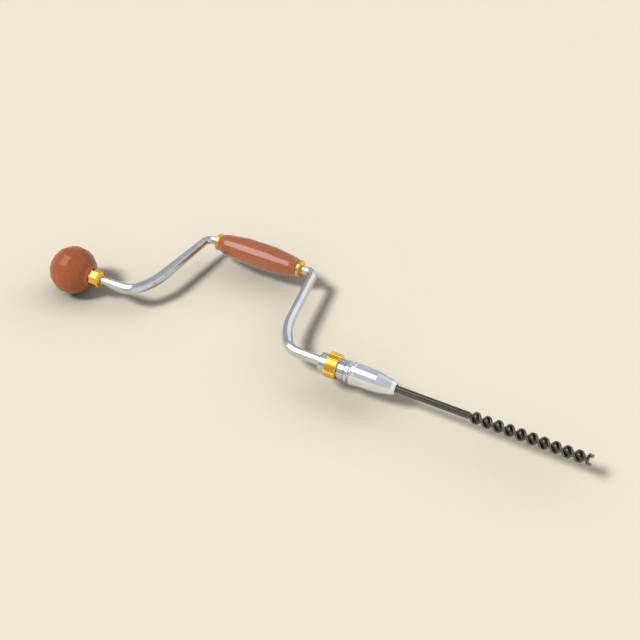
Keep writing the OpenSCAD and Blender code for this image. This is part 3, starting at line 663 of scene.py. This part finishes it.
class BRACE_OT_crank(bpy.types.Operator):
    """Bends the crank out of an eight-sided rod"""

    bl_idname = "brace.crank"
    bl_label = "Crank"

    def execute(self, context):
        s = sizes()
        half_journal = (span("ferrule_front")[1] - span("ferrule_rear")[0]) / 2 + 0.15 * MM
        x_neck = span("thrust_collar")[1]
        x_house = span("ratchet_housing")[0]
        neck_r, neck_len = 5.0 * MM, 3 * MM
        rear = self.arm("rear_arm", HANDLE_X - x_neck - neck_len, half_journal, s.rear_bare, neck_r,
                        s.rear_swell, 1.0)
        front = self.arm("front_arm", x_house - HANDLE_X, half_journal, s.front_bare, s.rod_radius,
                         s.front_swell, s.elbow_swell)
        pick(rear)
        bpy.ops.transform.translate(value=(HANDLE_X, 0, 0))
        bpy.ops.object.transform_apply(location=True)
        pick(front)
        bpy.ops.transform.resize(value=(-1, 1, 1), center_override=(0, 0, 0))
        bpy.ops.object.transform_apply(location=True, scale=True)
        bpy.ops.transform.translate(value=(HANDLE_X, 0, 0))
        bpy.ops.object.transform_apply(location=True)
        for obj in (rear, front):
            edit(obj)
            bpy.ops.mesh.normals_make_consistent(inside=False)
            done()
            soften(obj, s.rod_edge, 2, 30)
        lap, round_sides = 0.5 * MM, 24
        x_low = span("crank_frame")[0]
        spindle_r, journal_r, tenon_r = 3.99 * MM, 4.69 * MM, 4.39 * MM
        x_arm = x_neck + neck_len + lap
        spindle = turned("spindle", [(x_low, 0.0), (x_low, 3.4 * MM), (x_low + 0.6 * MM, spindle_r),
                                     (x_neck, spindle_r), (x_neck, neck_r), (x_arm, neck_r), (x_arm, 0.0)],
                         round_sides)
        x0, x1 = HANDLE_X - half_journal - lap, HANDLE_X + half_journal + lap
        journal = turned("journal", [(x0, 0.0), (x0, journal_r), (x1, journal_r), (x1, 0.0)],
                         round_sides, 0.0, HANDLE_Y)
        x0, x1 = x_house - lap, x_house + 4.4 * MM
        tenon = turned("tenon", [(x0, 0.0), (x0, tenon_r), (x1, tenon_r), (x1, 0.0)], round_sides)
        for piece in (spindle, journal, front, tenon):
            combine(rear, piece, "UNION")
        rear.name = rear.data.name = "bent_rod"
        shade(rear, 22)
        fit_piece(rear, "crank", bpy.data.materials["polished_steel"], ["crank_frame"])
        return {"FINISHED"}

    def arm(self, name, half_len, half_journal, bare, start_r, swell, top_swell):
        """One arm, from the tool axis to the handle's axis, with the middle of the handle at X = 0."""
        s = sizes()
        lean, tight = s.arm_lean, s.tight_turn
        turn = TAU / 4 - lean
        tight_x, tight_y = s.tight_bend * math.sin(tight), s.tight_bend * (1 - math.cos(tight))
        wide_x = tight_x + s.wide_bend * (math.sin(turn) - math.sin(tight))
        wide_y = tight_y + s.wide_bend * (math.cos(tight) - math.cos(turn))
        tangent = wide_y / math.sin(turn)
        top_tangent = s.top_bend * math.tan(turn / 2)
        half_low = half_journal + bare + top_tangent + HANDLE_Y * math.tan(lean) + wide_x - tangent * math.cos(turn)
        arm_len = HANDLE_Y / math.cos(lean) - tangent - top_tangent
        deselect()
        bpy.ops.mesh.primitive_circle_add(vertices=8, radius=start_r, fill_type="NGON",
                                          rotation=(0, TAU / 4, 0))
        obj = bpy.context.object
        obj.name = obj.data.name = name
        bpy.ops.object.transform_apply(rotation=True)
        edit(obj)
        bpy.ops.transform.translate(value=(-half_len, 0, 0))
        self.forward(Vector((half_len - half_low, 0, 0)), swell * s.rod_radius / start_r)
        self.bend((-half_low, s.tight_bend), tight, 6)
        centre = Vector((-half_low + tight_x - s.wide_bend * math.sin(tight),
                         tight_y + s.wide_bend * math.cos(tight)))
        self.bend(centre, turn - tight, 4)
        along = Vector((math.cos(turn), math.sin(turn), 0)) * arm_len
        self.forward(along, top_swell * s.grip_rod_radius / s.rod_radius / swell)
        half_top = half_journal + bare
        self.bend((-half_top, HANDLE_Y - s.top_bend), -turn, 8)
        self.forward(Vector((bare * 0.5, 0, 0)), 1.0 / top_swell)
        self.forward(Vector((bare * 0.5, 0, 0)), 1.0)
        heal()
        return done()

    def forward(self, step, grow):
        """Carries the rod's open end on in a straight line, and makes it thicker or thinner."""
        bpy.ops.mesh.extrude_region_move(TRANSFORM_OT_translate={"value": step})
        if abs(grow - 1.0) > 0.001:
            bpy.ops.transform.resize(value=(grow, grow, grow))

    def bend(self, centre, turn, steps):
        """Carries the rod's open end on round a bend."""
        bpy.ops.mesh.spin(steps=steps, angle=-turn, center=(centre[0], centre[1], 0), axis=(0, 0, 1))


class BRACE_OT_brass(bpy.types.Operator):
    """Softens the brass collar and the cam ring, and turns the two ferrules"""

    bl_idname = "brace.brass"
    bl_label = "Brass"

    def execute(self, context):
        s = sizes()
        brass = bpy.data.materials["polished_brass"]
        ring = copy_of_node("selector_ring", "soft_ring")
        self.groove(ring)
        flatten(ring)
        soften(ring, s.rib_edge, 2, 28)
        shade(ring, 25)
        fit_piece(ring, "selector", brass, ["selector_ring"])
        self.collar(brass)
        x0, x1 = span("ferrule_front")
        r, lip = half_width("ferrule_front"), s.ferrule_lip
        edge = [(x1 - lip + lip * math.sin(a), r - lip + lip * math.cos(a))
                for a in (TAU / 4 * i / 6 for i in range(7))]
        swell = [(x0 + 0.1 * MM, r - 1.0 * MM), (x0 + 0.5 * MM, r - 0.35 * MM), (x0 + 1.3 * MM, r - 0.02 * MM)]
        rod_r, tenon_r, x_tenon = 4.78 * MM, r - 1.19 * MM, x1 - 1.38 * MM
        bore = [(x1, rod_r), (x_tenon, rod_r), (x_tenon, tenon_r), (x0 + 0.1 * MM, tenon_r)]
        front = turned("soft_ferrule_front", swell + edge + bore + swell[:1], s.ferrule_sides, 0.0, HANDLE_Y)
        shade(front, 40)
        rear = bpy.data.objects.new("soft_ferrule_rear", front.data.copy())
        context.scene.collection.objects.link(rear)
        rear.data.name = rear.name
        edit(rear)
        bpy.ops.transform.resize(value=(-1, 1, 1), center_override=(HANDLE_X, 0, 0))
        bpy.ops.mesh.flip_normals()
        done()
        shade(rear, 40)
        fit_piece(front, "handle", brass, ["ferrule_front"])
        fit_piece(rear, "handle", brass, ["ferrule_rear"])
        return {"FINISHED"}

    def groove(self, ring):
        """Cuts a sharp groove between every two grips of the cam ring."""
        x0, x1 = span("selector_ring")
        r, grips = sizes().ring_groove, 12
        tool = pulled("grooves", [(x0 - MM, r), (x1 + MM, r)], 4)
        edit(tool)
        bpy.ops.transform.resize(value=(1, 0.8, 1))
        bpy.ops.transform.translate(value=(0, 0, half_width("selector_ring") + 0.15 * MM))
        bpy.ops.transform.rotate(value=TAU / grips / 2, orient_axis="X", center_override=(0, 0, 0))
        bpy.ops.mesh.spin(steps=grips - 1, angle=TAU * (grips - 1) / grips, dupli=True, center=(0, 0, 0),
                          axis=(1, 0, 0))
        done()
        combine(ring, tool, "DIFFERENCE")

    def collar(self, brass):
        """The head's collar with its wide chamfer, its sleeve and its bores."""
        s = sizes()
        x0, x1 = span("head_collar")
        x_flat = span("head_ball")[1]
        r = half_width("head_collar") * 1.02
        sleeve_r, spindle_r, race_r = 7.98 * MM, 4.05 * MM, 8.52 * MM
        outer = [(x_flat, r - 0.8 * MM), (x_flat + 0.8 * MM, r), (x1 - 2.2 * MM, r), (x1 - 0.2 * MM, r - 1.3 * MM),
                 (x1, r - 1.7 * MM)]
        obj = pulled("eight_sided_collar", outer, 8)
        soften(obj, s.metal_edge, 2, 28)
        tools = (
            ("UNION", [(x0, sleeve_r), (x_flat + 0.5 * MM, sleeve_r)]),
            ("DIFFERENCE", [(x0 - MM, spindle_r), (x1 + MM, spindle_r)]),
            ("DIFFERENCE", [(span("head_race")[0], race_r), (x1 + MM, race_r)]),
        )
        for operation, profile in tools:
            combine(obj, pulled("tool", profile, s.bore_sides), operation)
        shade(obj, 25)
        fit_piece(obj, "head", brass, ["head_collar"])


class BRACE_OT_auger(bpy.types.Operator):
    """Twists the auger bit and forges its shank and tang"""

    bl_idname = "brace.auger"
    bl_label = "Auger"

    def execute(self, context):
        s = sizes()
        x_tang, x_end = span("auger_bit")
        x_shank = -4.2 * MM
        x_twist, x_spur = s.twist_start, x_end - s.spur_length
        first = s.twist_phase
        last = first + TAU * (x_spur - x_twist) / s.twist_pitch
        bit = self.twist(x_twist, x_spur, first, last)
        r = s.shank_radius
        shank = pulled("shank", [(x_shank - 0.3 * MM, 3.2 * MM), (x_shank, r), (x_twist - 3.0 * MM, r),
                                 (x_twist + 3.6 * MM, 2.0 * MM)], 8, TAU / 16)
        soften(shank, 0.4 * MM, 1, 20)
        frame_flats(shank, 0.25 * MM, 60 * MM * MM)
        combine(bit, shank, "UNION")
        combine(bit, self.tang(x_tang, x_shank), "UNION")
        for side in (0.0, math.pi):
            combine(bit, self.spur(x_spur - 2.6 * MM, x_end, last + side), "UNION")
        bit.name = bit.data.name = "twisted_bit"
        shade(bit, 14)
        fit_piece(bit, "bit", bpy.data.materials["forged_steel"], ["auger_bit"])
        return {"FINISHED"}

    def twist(self, x0, x1, first, last):
        """The web's outline, drawn across the axis and screwed along it."""
        half, r, corner = sizes().land_half, sizes().twist_radius, 0.30 * MM
        side = [(0.0, -half * 0.84), (2.2 * MM, -half * 0.87), (4.3 * MM, -half * 0.94), (r - 0.95 * MM, -half),
                (r - 0.55 * MM, -half + corner * 0.15), (r - 0.36 * MM, -half + corner)]
        land = [(math.sqrt(r * r - y * y), y) for y in (-half + 0.62 * MM, -0.8 * MM, 0.0, 0.8 * MM,
                                                       half - 0.62 * MM)]
        one = side[1:] + land + [(x, -y) for x, y in reversed(side[1:])]
        outline = [(0.0, side[0][1])] + one + [(0.0, -side[0][1])] + [(-x, -y) for x, y in one]
        cos, sin = math.cos(first), math.sin(first)
        points = [Vector((x0, a * cos - b * sin, a * sin + b * cos)) for a, b in outline]
        draw_line(points + points[:1])
        bpy.ops.mesh.select_all(action="SELECT")
        bpy.ops.mesh.remove_doubles(threshold=0.002 * MM)
        obj = done()
        turns = (last - first) / TAU
        bpy.ops.object.modifier_add(type="SCREW")
        step = obj.modifiers[-1]
        step.axis, step.angle, step.screw_offset = "X", last - first, x1 - x0
        step.steps = step.render_steps = round(14 * turns)
        step.use_merge_vertices = False
        bpy.ops.object.modifier_apply(modifier=step.name)
        edit(obj)
        bpy.ops.mesh.fill_holes(sides=0)
        bpy.ops.mesh.select_all(action="SELECT")
        bpy.ops.mesh.normals_make_consistent(inside=False)
        return done()

    def tang(self, x0, x1):
        """The square taper that the jaws hold, with its corners up and to the sides."""
        small, large = 4.95 * MM, 6.15 * MM
        deselect()
        bpy.ops.mesh.primitive_circle_add(vertices=4, radius=small / math.sqrt(2), fill_type="NGON",
                                          rotation=(0, TAU / 4, 0))
        obj = bpy.context.object
        bpy.ops.object.transform_apply(rotation=True)
        edit(obj)
        bpy.ops.transform.translate(value=(x0, 0, 0))
        bpy.ops.mesh.extrude_region_move(TRANSFORM_OT_translate={"value": (x1 - x0, 0, 0)})
        bpy.ops.transform.resize(value=(large / small,) * 3)
        bpy.ops.mesh.select_all(action="SELECT")
        bpy.ops.mesh.normals_make_consistent(inside=False)
        done()
        return soften(obj, 0.25 * MM, 2, 60)

    def spur(self, x0, x1, turn):
        """One of the two spurs that score the rim of the hole."""
        half, inner, outer = sizes().spur_half, sizes().spur_inside, half_width("auger_bit") * 0.9985
        arc = [(outer * math.cos(a), outer * math.sin(a)) for a in (i * 0.1 for i in range(-3, 4))]
        outline = [(inner, -half)] + arc + [(inner, half)]
        cos, sin = math.cos(turn), math.sin(turn)
        draw_line([Vector((x0, a * cos - b * sin, a * sin + b * cos)) for a, b in outline])
        bpy.ops.mesh.select_all(action="SELECT")
        bpy.ops.mesh.edge_face_add()
        bpy.ops.mesh.extrude_region_move(TRANSFORM_OT_translate={"value": (x1 - x0, 0, 0)})
        bpy.ops.mesh.select_all(action="SELECT")
        bpy.ops.mesh.normals_make_consistent(inside=False)
        return soften(done(), 0.2 * MM, 1, 40)


class BRACE_OT_shell(bpy.types.Operator):
    """Cuts flats on the chuck's shell"""

    bl_idname = "brace.shell"
    bl_label = "Shell"

    def execute(self, context):
        s = sizes()
        x0, x1 = span("chuck_shell")
        bead = half_width("chuck_shell") * 0.998
        profile = [(x0 - 0.02 * MM, bead - 0.9 * MM), (x0 + 0.8 * MM, bead), (x0 + 3.7 * MM, bead),
                   (x0 + 4.6 * MM, 12.55 * MM), (x0 + 5.3 * MM, 12.97 * MM), (x1 - 22 * MM, 11.9 * MM),
                   (x1 - 4.5 * MM, 8.55 * MM), (x1 + 0.02 * MM, 6.38 * MM)]
        obj = copy_of_node("chuck_shell", "flat_shell")
        combine(obj, pulled("block", profile, s.metal_sides, math.pi / s.metal_sides), "INTERSECT")
        flatten(obj)
        soften(obj, s.metal_edge, 2, 6)
        shade(obj, 6)
        fit_piece(obj, "shell", bpy.data.materials["plated_steel"], ["chuck_shell"])
        return {"FINISHED"}


class BRACE_OT_ratchet(bpy.types.Operator):
    """Cuts flats on the ratchet's housing and cap, and on the chuck's flange"""

    bl_idname = "brace.ratchet"
    bl_label = "Ratchet"

    def execute(self, context):
        x0, x1 = span("ratchet_housing")
        r = half_width("ratchet_housing") * 0.998
        self.carve("ratchet_housing", "flat_housing",
                   [(x0 + 0.02 * MM, r - 1.1 * MM), (x0 + 1.1 * MM, r), (x1 + 5 * MM, r)])
        x0, x1 = span("ratchet_cap")
        r = half_width("ratchet_cap") * 0.998
        self.carve("ratchet_cap", "flat_cap",
                   [(x0 - 5 * MM, r), (x1 - 0.9 * MM, r), (x1 - 0.02 * MM, r - 0.9 * MM)])
        self.flange()
        return {"FINISHED"}

    def carve(self, node, name, profile):
        """A copy of a CAD node, kept to what lies inside a block with flat sides."""
        obj = copy_of_node(node, name)
        combine(obj, pulled("block", profile, sizes().metal_sides), "INTERSECT")
        self.finish(obj, "crank", node)

    def flange(self):
        """The chuck's body with a flat-sided band behind the shell, and a groove between the two."""
        s = sizes()
        x0 = span("ratchet_cap")[1] + 0.15 * MM
        x1 = span("chuck_shell")[0] - 0.15 * MM
        x_band = x1 - 2.4 * MM
        far0, far1 = x0 - 60 * MM, x1 + 60 * MM
        band = half_width("ratchet_cap") + s.band_rise
        floor_r = band - s.band_drop
        bore_r = floor_r - 1.1 * MM
        body = copy_of_node("chuck_body", "flat_flange")
        combine(body, pulled("trim", [(far0, floor_r), (far1, floor_r)], s.bore_sides), "INTERSECT")
        rim = pulled("rim", [(x0, floor_r - 0.3 * MM), (x0 + 0.01 * MM, band - 0.4 * MM), (x0 + 0.4 * MM, band),
                             (x_band - 0.3 * MM, band), (x_band, band - 0.3 * MM), (x_band, floor_r - 0.3 * MM)],
                     s.metal_sides)
        combine(rim, pulled("bore", [(far0, bore_r), (far1, bore_r)], 12), "DIFFERENCE")
        combine(body, rim, "UNION")
        self.finish(body, "chuck", "chuck_body")

    def finish(self, obj, body, node):
        flatten(obj)
        soften(obj, sizes().metal_edge, 2, 12)
        shade(obj, 8)
        fit_piece(obj, body, bpy.data.materials["polished_steel"], [node])


class BRACE_OT_frame(bpy.types.Operator):
    """Gives every CAD node its finish"""

    bl_idname = "brace.frame"
    bl_label = "Frame"

    def execute(self, context):
        c = colours()
        # Each metal darkens its hollows with painted shade, the steel and the brass the most.
        steel = metal("polished_steel", tuple(c.steel), rough=0.16, spread=0.04, hollow_shade=0.5)
        brass = metal("polished_brass", tuple(c.brass), rough=0.2, spread=0.04, hollow_shade=0.5, worn=1.1)
        shell = metal("plated_steel", tuple(c.shell), rough=0.19, spread=0.04)
        dark = forged("forged_steel", tuple(c.bit), rough=0.25)
        inner = metal("ground_steel", scaled(tuple(c.steel), 0.7), rough=0.36)
        fibre = pressed_fibre("pressed_fibre", tuple(c.fibre))
        groups = {
            steel: ["crank_frame", "ratchet_housing", "ratchet_cap", "chuck_body"],
            brass: ["head_collar", "ferrule_rear", "ferrule_front", "selector_ring", "spindle_washer",
                    "thrust_collar"],
            shell: ["chuck_shell"],
            dark: ["auger_bit"],
            inner: ["head_race", "head_bearing_balls", "spindle_nut", "cap_screws", "pawl_forward",
                    "pawl_reverse", "pawl_pins", "pawl_spring_forward", "pawl_spring_reverse", "ratchet_wheel",
                    "wheel_key", "jaw_upper", "jaw_lower", "jaw_spring", "jaw_cone", "cone_bearing_balls"],
            fibre: ["thrust_washer"],
        }
        for material, nodes in groups.items():
            for node in nodes:
                dress_node(node, material)
        return {"FINISHED"}


STEPS = (BRACE_OT_stage, BRACE_OT_frame, BRACE_OT_head, BRACE_OT_handle, BRACE_OT_crank, BRACE_OT_ratchet,
         BRACE_OT_brass, BRACE_OT_shell, BRACE_OT_auger)


class BRACE_PT_tools(bpy.types.Panel):
    """The brace's pieces, in the order in which they are made"""

    bl_idname = "BRACE_PT_tools"
    bl_label = "Bit brace"
    bl_space_type = "VIEW_3D"
    bl_region_type = "UI"
    bl_category = "Brace"

    def draw(self, context):
        for step in STEPS:
            self.layout.operator(step.bl_idname)


CLASSES = (BraceSizes, BraceColours, *STEPS, BRACE_PT_tools)


def register():
    for cls in CLASSES:
        bpy.utils.register_class(cls)
    bpy.types.Scene.brace_sizes = bpy.props.PointerProperty(type=BraceSizes)
    bpy.types.Scene.brace_colours = bpy.props.PointerProperty(type=BraceColours)


def unregister():
    del bpy.types.Scene.brace_colours
    del bpy.types.Scene.brace_sizes
    for cls in reversed(CLASSES):
        bpy.utils.unregister_class(cls)


def main():
    register()
    bpy.ops.brace.stage()
    bpy.ops.brace.frame()
    bpy.ops.brace.head()
    bpy.ops.brace.handle()
    bpy.ops.brace.crank()
    bpy.ops.brace.ratchet()
    bpy.ops.brace.brass()
    bpy.ops.brace.shell()
    bpy.ops.brace.auger()


if __name__ == "__main__":
    main()
